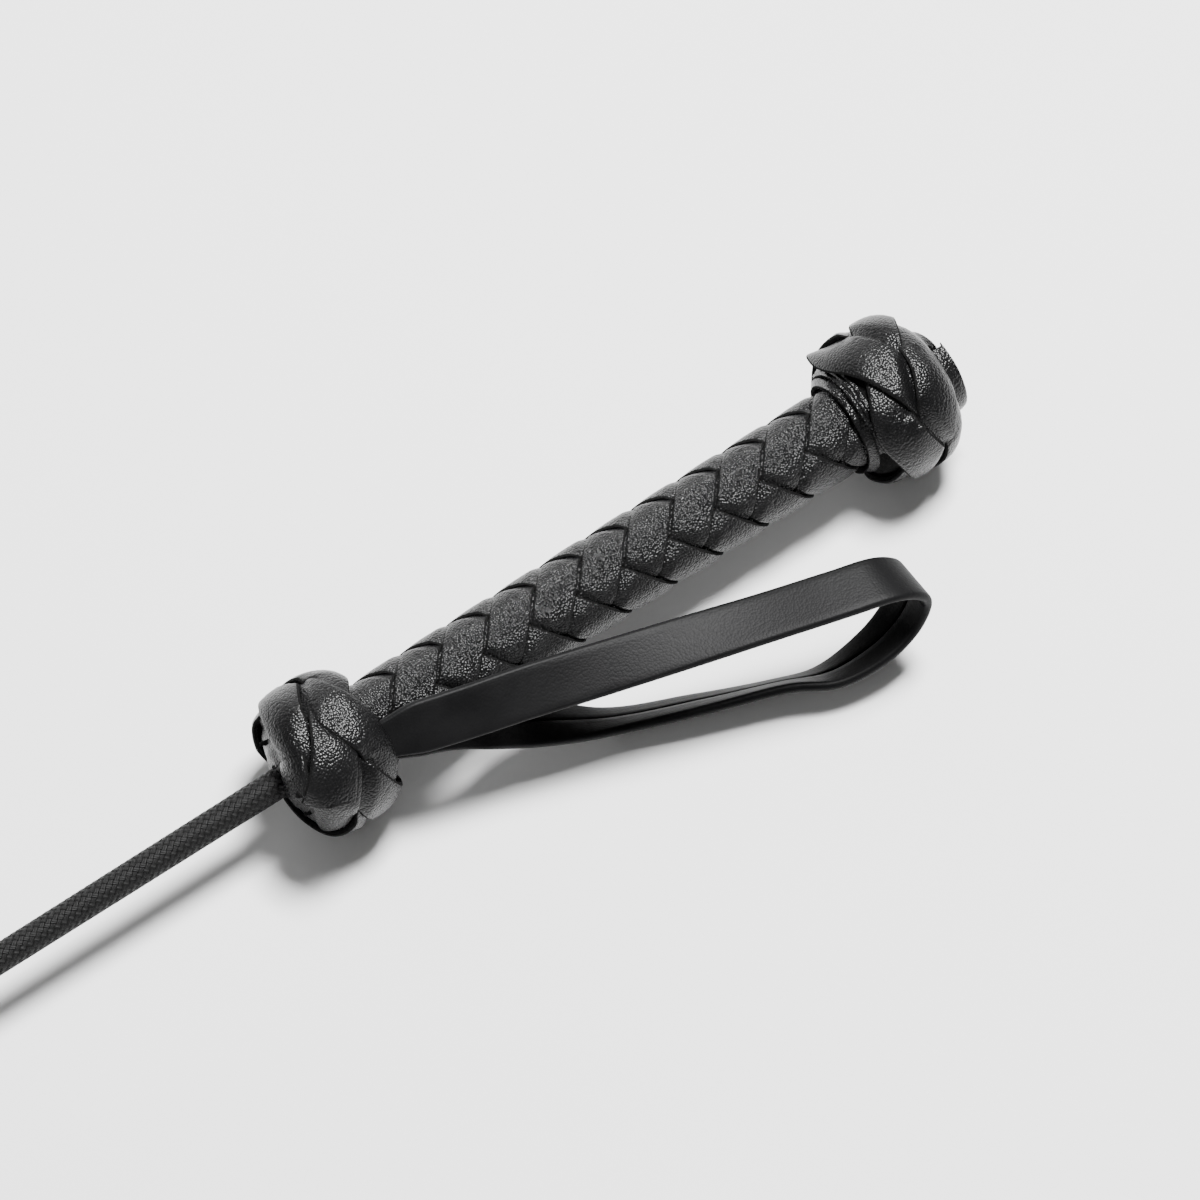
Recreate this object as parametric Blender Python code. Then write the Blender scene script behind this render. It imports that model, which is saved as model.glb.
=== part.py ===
"""Riding crop: a braided leather grip between two Turk's-head knots, a folded wrist strap,
a textile-covered rod and a folded leather keeper.

Working frame: X runs along the crop towards the knob, the lower knot is centred on x = 0,
+Z is up and the crop lies on its two knots. The whole model is then moved so that the
middle of its footprint stands on the world origin. All lengths below are millimetres.
"""

import math

import bmesh
import bpy
from mathutils import Matrix, Vector

MM = 0.001
GAP = 0.3  # clearance between neighbouring pieces

# crop layout along X
AXIS_HEIGHT = 18.75  # the rod's centre line over the table
KNOB_X = 147.3  # centre of the knob; the lower knot is at 0
ROD_END_X = 144.0
ROD_TIP_X = -424.0
KEEPER_HINGE_X = -430.0
KEEPER_END_X = -487.0

# braided grip: four strands each way, every strand over two and under two
STRAND_PITCH = 12.0  # along X, between neighbouring strands of one direction
STRAND_COUNT = 4
STRAND_HALF = 0.405  # half a strand's width, as a share of the strand spacing
STRAND_THICK = 0.9
GRIP_RADIUS = 9.5  # over the outer strands
WEAVE_STEP = STRAND_THICK + 0.35  # between the outer and the inner layer
WEAVE_TURN = -22.4  # degrees, turns the herringbone columns about X
WEAVE_SHIFT = 2.2  # moves the herringbone along X
BRAID_START_X = -8.0
BRAID_END_X = 142.0

# knots: a flat lace tied as a three-lead, four-bight Turk's head
LEADS = 3
BIGHTS = 4
LACE_WIDTH = 7.2
LACE_THICK = 1.1
LACE_LIFT = 0.72  # the lace's height over and under the knot's middle surface
LACE_STEPS = 144
BARREL_ROOT = 8.0  # radius at which the knot's rounded section is centred
BIGHT_REACH = 8.4  # how far the lace's centre line swings to each side

# wrist strap: one folded strip, both ends tied into the lower knot
STRAP_WIDTH = 11.4
STRAP_THICK = 2.0
STRAP_START_X = 16.8  # where the free loop begins, on its swing axis
STRAP_FULL_X = 24.0  # where the loop's tapered ends reach the full width
STRAP_TIP = 0.13  # the tapered ends' width, as a share of the full width
TAIL_END_X = 13.2
TAIL_WIDTH = 7.0
TAIL_THICK = 1.3
TAIL_ANGLE = 131.0  # degrees about X from +Y, the side on which the strap leaves the knot

# rod and its textile cover
ROD_RADIUS = 2.5
ROD_TIP_RADIUS = 1.4
COVER_RADIUS = 3.3
COVER_TIP_RADIUS = 2.3

# keeper: a folded tongue of leather bound on the tip
KEEPER_WIDTH = 27.0
KEEPER_NECK = 9.0
KEEPER_LEAF = 1.4
KEEPER_SLIT = 0.5

FINISHES = {
    "leather": ((0.016, 0.016, 0.018), 0.42, 0.0),
    "textile": ((0.012, 0.012, 0.013), 0.8, 0.0),
    "thread": ((0.02, 0.02, 0.02), 0.75, 0.0),
    "fibreglass": ((0.75, 0.74, 0.68), 0.45, 0.0),
    "wood": ((0.52, 0.38, 0.22), 0.6, 0.0),
    "plastic": ((0.03, 0.03, 0.03), 0.5, 0.0),
}


def clear_scene():
    for thing in list(bpy.data.objects):
        bpy.data.objects.remove(thing)


def finish(kind, node):
    """A material of its own for one sub-part."""
    colour, roughness, metallic = FINISHES[kind]
    made = bpy.data.materials.new(f"{node}_{kind}")
    made.use_nodes = True
    shader = made.node_tree.nodes["Principled BSDF"]
    shader.inputs["Base Color"].default_value = (*colour, 1.0)
    shader.inputs["Roughness"].default_value = roughness
    shader.inputs["Metallic"].default_value = metallic
    return made


def empty(name, place, parent=None):
    made = bpy.data.objects.new(name, None)
    made.empty_display_size = 10 * MM
    made.location = Vector(place) * MM
    made.parent = parent
    bpy.context.collection.objects.link(made)
    return made


def add_object(name, bm, kind, parent, origin=(0, 0, 0), sharp=35):
    """Turn a bmesh, in millimetres of the working frame, into a named object."""
    bmesh.ops.recalc_face_normals(bm, faces=bm.faces)
    bmesh.ops.transform(bm, matrix=Matrix.Translation(-Vector(origin)), verts=bm.verts)
    bmesh.ops.scale(bm, vec=(MM, MM, MM), verts=bm.verts)
    mesh = bpy.data.meshes.new(name)
    bm.to_mesh(mesh)
    bm.free()
    mesh.materials.append(finish(kind, name))
    mesh.shade_smooth()
    mesh.set_sharp_from_angle(angle=math.radians(sharp))
    made = bpy.data.objects.new(name, mesh)
    made.parent = parent
    bpy.context.collection.objects.link(made)
    return made


def on_axis(x, radius, angle):
    """A point at a radius and an angle (radians from +Y towards +Z) about the rod's axis."""
    return Vector((x, radius * math.cos(angle), AXIS_HEIGHT + radius * math.sin(angle)))


def turn(profile, steps):
    """Spin a closed (x, radius) outline about the rod's axis."""
    bm = bmesh.new()
    ring = [bm.verts.new(on_axis(x, radius, 0)) for x, radius in profile]
    edges = [bm.edges.new((a, b)) for a, b in zip(ring, ring[1:] + ring[:1])]
    bmesh.ops.spin(
        bm,
        geom=ring + edges,
        cent=(0, 0, AXIS_HEIGHT),
        axis=(1, 0, 0),
        angle=math.tau,
        steps=steps,
        use_merge=True,
    )
    bmesh.ops.remove_doubles(bm, verts=bm.verts, dist=0.0005)
    loose = [face for face in bm.faces if face.calc_area() < 1e-9]
    bmesh.ops.delete(bm, geom=loose, context="FACES_ONLY")
    return bm


def turn_solid(profile, steps):
    """Spin an open outline whose two ends lie on the axis."""
    bm = bmesh.new()
    first = bm.verts.new(on_axis(profile[0][0], 0, 0))
    last = bm.verts.new(on_axis(profile[-1][0], 0, 0))
    rings = []
    for x, radius in profile[1:-1]:
        spots = [on_axis(x, radius, math.tau * k / steps) for k in range(steps)]
        rings.append([bm.verts.new(spot) for spot in spots])
    for low, high in zip(rings, rings[1:]):
        for k in range(steps):
            m = (k + 1) % steps
            bm.faces.new((low[k], low[m], high[m], high[k]))
    for k in range(steps):
        m = (k + 1) % steps
        bm.faces.new((first, rings[0][m], rings[0][k]))
        bm.faces.new((last, rings[-1][k], rings[-1][m]))
    return bm


def loft(rings, closed=False):
    """Skin a row of four-cornered sections; an open row gets end caps."""
    bm = bmesh.new()
    made = [[bm.verts.new(spot) for spot in ring] for ring in rings]
    pairs = list(zip(made, made[1:]))
    if closed:
        pairs.append((made[-1], made[0]))
    count = len(made[0])
    for low, high in pairs:
        for k in range(count):
            m = (k + 1) % count
            bm.faces.new((low[k], low[m], high[m], high[k]))
    if not closed:
        bm.faces.new(made[0])
        bm.faces.new(list(reversed(made[-1])))
    bmesh.ops.triangulate(bm, faces=bm.faces)
    return bm


def section(centre, across, up, width, thick):
    """The four corners of a strip's cross-section."""
    side = across * (width / 2)
    rise = up * (thick / 2)
    return [centre - side - rise, centre + side - rise, centre + side + rise, centre - side + rise]


# ---------------------------------------------------------------- rod, cover and grip core


def build_rod(frame):
    profile = [
        (ROD_TIP_X, 0),
        (ROD_TIP_X, ROD_TIP_RADIUS),
        (0, ROD_RADIUS),
        (ROD_END_X, ROD_RADIUS),
        (ROD_END_X, 0),
    ]
    add_object("shaft_rod", turn_solid(profile, 12), "fibreglass", frame)


def build_cover(frame):
    """The braided textile sleeve, from inside the lower knot to the tip."""
    start = BRAID_START_X - 2.0
    tip = ROD_TIP_X + 1.0
    profile = [
        (tip, ROD_TIP_RADIUS + 0.4),
        (start, ROD_RADIUS + GAP),
        (start, COVER_RADIUS),
        (tip, COVER_TIP_RADIUS),
    ]
    add_object("shaft_cover", turn(profile, 20), "textile", frame)


def build_grip_core(frame):
    inner = ROD_RADIUS + GAP
    outer = GRIP_RADIUS - 2 * STRAND_THICK - 0.75
    profile = [
        (BRAID_START_X - 1.5, inner),
        (BRAID_END_X - 1.0, inner),
        (BRAID_END_X - 1.0, outer),
        (BRAID_START_X - 1.5, outer),
    ]
    add_object("grip_core", turn(profile, 24), "wood", frame)


# ---------------------------------------------------------------- braided grip


def weave_level(crossing):
    """+1 where a right-hand strand lies outside, -1 where it lies inside."""
    phase = (crossing + 0.5) % 4
    slot = 0.5 - STRAND_HALF
    if phase < slot:
        return phase / slot
    if phase < 2 - slot:
        return 1.0
    if phase < 2 + slot:
        return (2 - phase) / slot
    if phase < 4 - slot:
        return -1.0
    return (phase - 4) / slot


def weave_point(p, q, hand, side):
    """A point of a strand: p and q count the right-hand and left-hand strands."""
    own, other = (p, q) if hand > 0 else (q, p)
    crossing = round(own) + other
    level = weave_level(crossing) * hand
    radius = GRIP_RADIUS - STRAND_THICK / 2 - WEAVE_STEP / 2 * (1 - level)
    angle = math.radians(WEAVE_TURN + 45 * (p + q))
    x = WEAVE_SHIFT + STRAND_PITCH / 2 * (q - p)
    return on_axis(x, radius + side * STRAND_THICK / 2, angle)


def strand_stations(own, hand):
    """The places along a strand where its section is set, in strand counts of the other hand."""
    per_count = STRAND_PITCH / 2
    ends = sorted(
        own + hand * (x - WEAVE_SHIFT) / per_count for x in (BRAID_START_X, BRAID_END_X)
    )
    stations = []
    for count in range(math.ceil(ends[0] + STRAND_HALF), math.floor(ends[1] - STRAND_HALF) + 1):
        stations += [count - STRAND_HALF, float(count), count + STRAND_HALF]
    return stations


def build_strand(frame, name, own, hand):
    bm = bmesh.new()
    columns = [own - STRAND_HALF, float(own), own + STRAND_HALF]
    grid = []
    for other in strand_stations(own, hand):
        row = []
        for column in columns:
            p, q = (column, other) if hand > 0 else (other, column)
            row.append([bm.verts.new(weave_point(p, q, hand, side)) for side in (1, -1)])
        grid.append(row)
    last = len(columns) - 1
    for low, high in zip(grid, grid[1:]):
        for k in range(last):
            for side in (0, 1):
                a, b = low[k][side], low[k + 1][side]
                c, d = high[k][side], high[k + 1][side]
                bm.faces.new((a, b, c))
                bm.faces.new((b, d, c))
        for k in (0, last):
            bm.faces.new((low[k][0], low[k][1], high[k][0]))
            bm.faces.new((low[k][1], high[k][1], high[k][0]))
    for row in (grid[0], grid[-1]):
        for k in range(last):
            bm.faces.new((row[k][0], row[k + 1][0], row[k + 1][1], row[k][1]))
    add_object(name, bm, "leather", frame, sharp=50)


def build_braid(frame):
    for index in range(STRAND_COUNT):
        build_strand(frame, f"grip_strand_{2 * index + 1}", index, 1)
        build_strand(frame, f"grip_strand_{2 * index + 2}", index, -1)


def build_whipping(frame, name, x, length, inner, outer, turns):
    """A thread binding: a ring with one ridge for each turn of thread."""
    step = length / turns
    profile = [(x - length / 2, inner), (x + length / 2, inner)]
    for k in range(turns):
        edge = x + length / 2 - k * step
        profile += [(edge, outer - 0.2), (edge - step / 2, outer)]
    profile.append((x - length / 2, outer - 0.2))
    add_object(name, turn(profile, 20), "thread", frame)


# ---------------------------------------------------------------- Turk's-head knots


def barrel(x, radius, reach, power):
    """The radius of a knot's middle surface at a distance from its centre."""
    share = min(abs(x) / reach, 0.999)
    return BARREL_ROOT + (radius - BARREL_ROOT) * (1 - share**power) ** (1 / power)


def lace_centre(turn_angle):
    """(x, angle about the axis) of the lace's centre line at 0 to 2 pi."""
    return BIGHT_REACH * math.cos(BIGHTS * turn_angle), LEADS * turn_angle


def lace_level(turn_angle):
    """Alternately over (+1) and under (-1) at the crossings."""
    unit = turn_angle / (math.pi / 12) % 6
    stops = [(0, -0.4), (1, 1), (2, -1), (4, 1), (5, -1), (6, -0.4)]
    for (a, low), (b, high) in zip(stops, stops[1:]):
        if unit <= b:
            share = (unit - a) / (b - a)
            flat = min(max(1.6 * share - 0.3, 0.0), 1.0)
            smooth = flat * flat * (3 - 2 * flat)
            return low + (high - low) * smooth
    return -0.4


def lace_ring(centre_x, radius, reach, power, phase, turn_angle):
    step = 1e-3
    x0, a0 = lace_centre(turn_angle - step)
    x1, a1 = lace_centre(turn_angle + step)
    x, angle = lace_centre(turn_angle)
    angle += phase
    here = barrel(x, radius, reach, power)
    run = Vector((x1 - x0, here * (a1 - a0), 0)).normalized()
    half = LACE_WIDTH / 2
    lift = LACE_LIFT * lace_level(turn_angle)
    ring = []
    for side, rise in ((-1, -1), (0, -1), (1, -1), (1, 1), (0, 1), (-1, 1)):
        over_x = x - side * half * run.y
        over_angle = angle + side * half * run.x / here
        spot = barrel(over_x, radius, reach, power) + lift + rise * LACE_THICK / 2
        ring.append(on_axis(centre_x + over_x, spot, over_angle))
    return ring


def build_lace(frame, name, centre_x, radius, reach, power, phase):
    rings = []
    for k in range(LACE_STEPS):
        angle = math.tau * k / LACE_STEPS
        rings.append(lace_ring(centre_x, radius, reach, power, math.radians(phase), angle))
    add_object(name, loft(rings, closed=True), "leather", frame, sharp=50)


def build_knot_collar(frame):
    """The wrapped filling under the lower knot's lace, open where the strap tails enter."""
    shell = 16.0
    profile = [
        (-11.2, COVER_RADIUS + GAP),
        (-10.2, COVER_RADIUS + GAP),
        (-10.2, 11.0),
        (9.0, 11.0),
        (9.6, 13.2),
        (5.0, shell - 0.4),
        (0.0, shell - 0.1),
        (-5.0, shell - 0.4),
        (-9.4, 14.0),
        (-11.2, 11.0),
    ]
    collar = add_object("knot_collar", turn(profile, 32), "leather", frame)
    cutter = bmesh.new()
    bmesh.ops.create_cube(cutter, size=1.0)
    bmesh.ops.scale(cutter, vec=(20.0, TAIL_WIDTH + 1.2, 12.0), verts=cutter.verts)
    bmesh.ops.translate(cutter, vec=(6.0, 0, 14.0), verts=cutter.verts)
    spin = Matrix.Rotation(math.radians(TAIL_ANGLE - 90), 4, "X")
    bmesh.ops.transform(cutter, matrix=spin, verts=cutter.verts)
    bmesh.ops.translate(cutter, vec=(0, 0, AXIS_HEIGHT), verts=cutter.verts)
    guide = add_object("knot_collar_slot_cutter", cutter, "plastic", frame)
    guide.hide_render = True
    guide.display_type = "WIRE"
    cut = collar.modifiers.new("strap_slot", "BOOLEAN")
    cut.operation = "DIFFERENCE"
    cut.object = guide


def build_knob_core(frame):
    """The turned ball on the end of the grip, bored for the braid's end and the rod."""
    x = KNOB_X
    sleeve = BRAID_END_X + 0.5
    profile = [
        (x + 11.4, 0),
        (x + 11.4, 8.0),
        (x + 9.6, 12.0),
        (x + 6.0, 15.0),
        (x, 15.9),
        (x - 6.0, 15.2),
        (x - 10.2, 13.0),
        (x - 11.2, 11.2),
        (sleeve, 11.2),
        (sleeve, ROD_RADIUS + GAP),
        (ROD_END_X + GAP, ROD_RADIUS + GAP),
        (ROD_END_X + GAP, 0),
    ]
    add_object("knob_core", turn_solid(profile, 32), "plastic", frame)


def build_knob_tabs(frame):
    """The lace ends that stick out at the knob's far end, cut short and lying over its middle."""
    places = [(28.0, 0.0, 7.4), (150.0, 1.7, 6.6), (262.0, 3.4, 7.0)]
    for index, (angle, rise, length) in enumerate(places):
        direction = math.radians(angle)
        outward = Vector((0, math.cos(direction), math.sin(direction)))
        across = Vector((0, -outward.z, outward.y))
        rings = []
        for share in (0.0, 0.35, 0.7, 1.0):
            reach = 0.6 + share * length
            lift = KNOB_X + 12.4 + rise + 0.9 * share * share
            centre = Vector((lift, 0, AXIS_HEIGHT)) + outward * reach
            rings.append(section(centre, across, Vector((1, 0, 0)), 6.4 - 1.6 * share, LACE_THICK))
        add_object(f"knob_lace_end_{index + 1}", loft(rings), "leather", frame)


# ---------------------------------------------------------------- wrist strap

# The strip's route as (x, y, z, tilt): its width lies along -Y at tilt 0 and rises by the tilt.
STRAP_ROUTE = [
    (STRAP_START_X, -10.6, 28.6, -41),
    (22.0, -11.8, 28.3, -39),
    (30.0, -13.9, 28.1, -35),
    (40.0, -16.4, 27.9, -28),
    (57.0, -21.3, 27.8, -17),
    (89.0, -31.0, 28.7, 0),
    (106.0, -36.4, 30.0, 2),
    (116.0, -39.0, 29.6, 0),
    (122.0, -40.3, 25.4, 2),
    (123.5, -40.9, 19.5, 6),
    (119.5, -42.0, 12.8, 12),
    (112.0, -42.8, 8.8, 24),
    (101.5, -41.6, 5.6, 40),
    (91.0, -37.4, 5.6, 53),
    (75.0, -31.0, 5.3, 46),
    (57.0, -23.2, 5.6, 34),
    (40.0, -16.9, 14.5, -22),
    (30.0, -14.9, 22.1, -52),
    (22.0, -11.0, 25.2, -46),
    (STRAP_START_X, -9.3, 26.6, -42),
]


def smooth_route(points, steps):
    """A Catmull-Rom curve through the points, with the same number of steps in each span."""
    rows = [Vector(point) for point in points]
    rows = [2 * rows[0] - rows[1], *rows, 2 * rows[-1] - rows[-2]]
    curve = []
    for a, b, c, d in zip(rows, rows[1:], rows[2:], rows[3:]):
        for k in range(steps):
            s = k / steps
            spot = 2 * b + (c - a) * s + (2 * a - 5 * b + 4 * c - d) * s**2
            curve.append((spot + (3 * b - a - 3 * c + d) * s**3) / 2)
    curve.append(rows[-2])
    return curve


def strip_rings(curve, width_at, thick_at):
    """Sections of a strip along a curve of (x, y, z, tilt in degrees)."""
    rings = []
    for k, row in enumerate(curve):
        centre = row.xyz
        before, after = curve[max(k - 1, 0)].xyz, curve[min(k + 1, len(curve) - 1)].xyz
        along = (after - before).normalized()
        tilt = math.radians(row.w)
        across = Vector((0, -math.cos(tilt), math.sin(tilt)))
        across = (across - along * across.dot(along)).normalized()
        up = along.cross(across)
        rings.append(section(centre, across, up, width_at(centre.x), thick_at(centre.x)))
    return rings


def rounded_end(x):
    """The strap's width, which rounds off towards its ends so that they can turn."""
    share = min(max((x - STRAP_START_X) / (STRAP_FULL_X - STRAP_START_X), 0.0), 1.0)
    return STRAP_WIDTH * (STRAP_TIP + (1 - STRAP_TIP) * share**0.8)


def build_wrist_strap(pivot, place):
    rings = strip_rings(smooth_route(STRAP_ROUTE, 4), rounded_end, lambda x: STRAP_THICK)
    add_object("wrist_strap", loft(rings), "leather", pivot, origin=place)


def tail_width(x):
    """The strap is gathered inside the knot and widens where it leaves it."""
    return TAIL_WIDTH if x < TAIL_END_X - 1 else TAIL_WIDTH + 1.6


def build_strap_tails(frame):
    """The strap's two ends inside the lower knot, up to where the free loop starts to bend."""
    stations = (-3.5, 4.0, 10.6)
    base = GRIP_RADIUS + GAP + TAIL_THICK / 2
    for index, side in enumerate(("lower", "upper")):
        inside = base + index * (TAIL_THICK + GAP)
        angle = math.radians(TAIL_ANGLE)
        start = on_axis(0, inside, angle)
        rows = [Vector((x, start.y, start.z, TAIL_ANGLE - 172)) for x in stations]
        end = on_axis(TAIL_END_X, inside + 0.6 + 0.4 * index, angle)
        rows.append(Vector((*end, TAIL_ANGLE - 172)))
        rings = strip_rings(rows, tail_width, lambda x: TAIL_THICK)
        add_object(f"strap_tail_{side}", loft(rings), "leather", frame)


# ---------------------------------------------------------------- tip and keeper


def build_tip_cap(frame):
    """The cap over the ends of the rod and its cover."""
    end = ROD_TIP_X - GAP
    inner = COVER_TIP_RADIUS + GAP
    profile = [
        (end - 2.2, 0),
        (end - 2.2, inner * 0.7),
        (end - 1.4, inner + 0.45),
        (end + 7.0, inner + 0.45),
        (end + 7.0, inner),
        (end, inner),
        (end, 0),
    ]
    add_object("tip_cap", turn_solid(profile, 16), "plastic", frame)


def build_keeper_sleeve(frame):
    """The leather wrapped around the tip, under the binding."""
    inner = COVER_TIP_RADIUS + 2 * GAP + 0.45
    profile = [(-427.6, inner), (-403.0, inner), (-403.0, inner + 0.7), (-406.0, inner + 1.3)]
    profile += [(-426.6, inner + 1.3), (-427.6, inner + 0.9)]
    add_object("keeper_sleeve", turn(profile, 20), "leather", frame)


def keeper_outline():
    """Half of the tongue's outline, from the neck to the end, as (x, y)."""
    half = KEEPER_WIDTH / 2
    corner = 4.0
    rows = [(KEEPER_HINGE_X + 1.2, KEEPER_NECK / 2), (KEEPER_HINGE_X - 3.0, KEEPER_NECK / 2)]
    rows.append((KEEPER_HINGE_X - 12.0, half - 1.5))
    rows.append((KEEPER_HINGE_X - 15.0, half))
    for k in range(5):
        turn_angle = math.radians(90 * k / 4)
        x = KEEPER_END_X + corner - corner * math.sin(turn_angle)
        rows.append((x, half - corner + corner * math.cos(turn_angle)))
    return rows


def build_keeper_flap(pivot, place):
    """The tongue: two leaves of one strip, folded at the far end and split between the leaves."""
    thick = 2 * KEEPER_LEAF + KEEPER_SLIT
    half = keeper_outline()
    outline = half + [(x, -y) for x, y in reversed(half)]
    bm = bmesh.new()
    base = AXIS_HEIGHT - thick / 2
    face = bm.faces.new([bm.verts.new((x, y, base)) for x, y in outline])
    grown = bmesh.ops.extrude_face_region(bm, geom=[face])
    top = [item for item in grown["geom"] if isinstance(item, bmesh.types.BMVert)]
    bmesh.ops.translate(bm, vec=(0, 0, thick), verts=top)
    flap = add_object("keeper_flap", bm, "leather", pivot, origin=place)
    slit = bmesh.new()
    bmesh.ops.create_cube(slit, size=1.0)
    start, end = KEEPER_END_X + 2.0, KEEPER_HINGE_X - 4.0
    bmesh.ops.scale(slit, vec=(end - start, KEEPER_WIDTH + 4, KEEPER_SLIT), verts=slit.verts)
    bmesh.ops.translate(slit, vec=((start + end) / 2, 0, AXIS_HEIGHT), verts=slit.verts)
    guide = add_object("keeper_slit_cutter", slit, "plastic", pivot, origin=place)
    guide.hide_render = True
    guide.display_type = "WIRE"
    cut = flap.modifiers.new("slit", "BOOLEAN")
    cut.operation = "DIFFERENCE"
    cut.object = guide


# ---------------------------------------------------------------- assembly


def stand_on_origin(frame):
    """Move the frame so that the middle of the footprint is at the world origin."""
    bpy.context.view_layer.update()
    spots = []
    for thing in bpy.data.objects:
        if thing.type == "MESH" and not thing.hide_render:
            spots += [thing.matrix_world @ Vector(corner) for corner in thing.bound_box]
    low = [min(spot[k] for spot in spots) for k in range(3)]
    high = [max(spot[k] for spot in spots) for k in range(3)]
    frame.location = (-(low[0] + high[0]) / 2, -(low[1] + high[1]) / 2, -low[2])
    bpy.context.view_layer.update()


def main():
    clear_scene()
    frame = empty("crop_frame", (0, 0, 0))
    strap_place = (STRAP_START_X, -10.0, 27.6)
    keeper_place = (KEEPER_HINGE_X, 0, AXIS_HEIGHT)
    strap_pivot = empty("wrist_strap_pivot", strap_place, frame)
    keeper_pivot = empty("keeper_pivot", keeper_place, frame)
    build_rod(frame)
    build_cover(frame)
    build_grip_core(frame)
    build_braid(frame)
    build_whipping(frame, "grip_whipping_lower", -6.4, 4.0, 9.8, 10.7, 5)
    build_whipping(frame, "grip_whipping_upper", 139.0, 4.0, 9.8, 10.7, 5)
    build_knot_collar(frame)
    build_lace(frame, "knot_lace", 0.0, 17.5, 13.0, 4.0, 103.0)
    build_strap_tails(frame)
    build_wrist_strap(strap_pivot, strap_place)
    build_knob_core(frame)
    build_lace(frame, "knob_lace", KNOB_X, 17.3, 12.7, 3.2, 150.0)
    build_knob_tabs(frame)
    build_tip_cap(frame)
    build_keeper_sleeve(frame)
    build_whipping(frame, "keeper_whipping", -416.0, 12.0, 4.95, 5.8, 12)
    build_keeper_flap(keeper_pivot, keeper_place)
    stand_on_origin(frame)


main()
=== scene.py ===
"""Riding crop, dressed for its render: plaited leather grip, laced knots, folded wrist
strap, textile sleeve over the rod and a stitched leather keeper.

Lengths below are millimetres unless a name says otherwise. The crop frame has its origin
at the lower knot's centre on the rod's axis: +X runs towards the knob, +Z is up. Angles
about the rod are degrees from +Y towards +Z.
"""

import bisect
import math
import random

import bmesh
import bpy
from mathutils import Matrix, Vector, noise


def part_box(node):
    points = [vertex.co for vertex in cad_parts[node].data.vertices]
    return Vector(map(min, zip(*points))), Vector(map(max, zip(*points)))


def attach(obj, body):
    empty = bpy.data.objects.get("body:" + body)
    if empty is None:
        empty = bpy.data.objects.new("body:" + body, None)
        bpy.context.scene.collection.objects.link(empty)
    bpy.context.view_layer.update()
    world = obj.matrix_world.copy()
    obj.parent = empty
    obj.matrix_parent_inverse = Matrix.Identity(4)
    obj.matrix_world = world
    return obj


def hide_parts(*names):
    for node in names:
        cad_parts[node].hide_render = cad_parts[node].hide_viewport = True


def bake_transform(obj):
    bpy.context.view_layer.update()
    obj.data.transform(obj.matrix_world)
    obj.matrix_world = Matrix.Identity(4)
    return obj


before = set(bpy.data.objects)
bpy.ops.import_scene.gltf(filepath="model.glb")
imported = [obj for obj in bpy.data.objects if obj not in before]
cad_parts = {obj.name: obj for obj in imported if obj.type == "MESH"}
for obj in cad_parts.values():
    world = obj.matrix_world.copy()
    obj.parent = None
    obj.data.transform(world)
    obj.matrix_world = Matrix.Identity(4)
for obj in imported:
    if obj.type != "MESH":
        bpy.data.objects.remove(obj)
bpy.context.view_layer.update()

MM = 0.001


def middle(node):
    low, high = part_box(node)
    return (low + high) / 2


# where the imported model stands
AXIS = middle("shaft_rod")
KNOT = Vector((middle("knot_lace").x, AXIS.y, AXIS.z))
KNOB_X = (middle("knob_lace").x - KNOT.x) / MM

# braid: four strands each way, every strand over two and under two
STRAND_PITCH = 12.0  # along X, between neighbouring strands of one direction
WEAVE_TURN = -22.4  # turns the pattern about the rod, in degrees, to match the photo
WEAVE_SHIFT = 2.2  # shifts the pattern along X
BRAID_START_X = -8.0
BRAID_END_X = 141.0
STRAND_HALF = 0.48  # half a strand's width, as a share of the strand spacing
STRAND_TOP = 9.75  # radius over the crown of an outer strand
STRAND_THICK = 0.95
WEAVE_DEPTH = 1.3  # how far a strand sinks when it passes under
STRAND_CROWN = 0.34  # how much lower a strand's edges are than its middle
STRAND_STEPS = 20  # sections for each crossing
OUTER_REACH = 0.7  # crossings from the middle of an outer stretch to where it starts to sink
SINK_RUN = 0.46  # crossings over which it sinks

# Turk's-head knots: three leads, four bights
LACE_WIDTH = 10.0
LACE_THICK = 1.15
LACE_CROWN = 0.14  # how much lower a lace's edges are than its middle
LACE_LIFT = 0.72  # height of one level over the knot's outline
PROFILE_ROOT = 7.0  # radius at which a knot's outline meets its two end faces
PROFILE_STEPS = 240
PERIOD = 270.0  # degrees about the rod from one bight to the next on the same side
LACE_RUN = 4 * PERIOD  # degrees about the rod of the whole closed lace
BEND_SPREAD = 13.0  # degrees over which the lace turns at a bight
BEND_SAMPLES = 4  # samples on each side, over which the bight is rounded
LACE_STEPS = 720
LACE_SHEAR = 15.5  # degrees by which a crossing's slanting edge leads at the lace's edges
STEEPEST_RUN = 0.375  # share of the lace's direction along X between two bights

# loose lace ends and gathers
BAND_STEP = 0.45
FRAY_REACH = 4.0  # length over which an end's torn offset grows
RIM_STEP = 2.5  # degrees
RIM_THICK = 1.0
RIM_CROWN = 0.1

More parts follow.
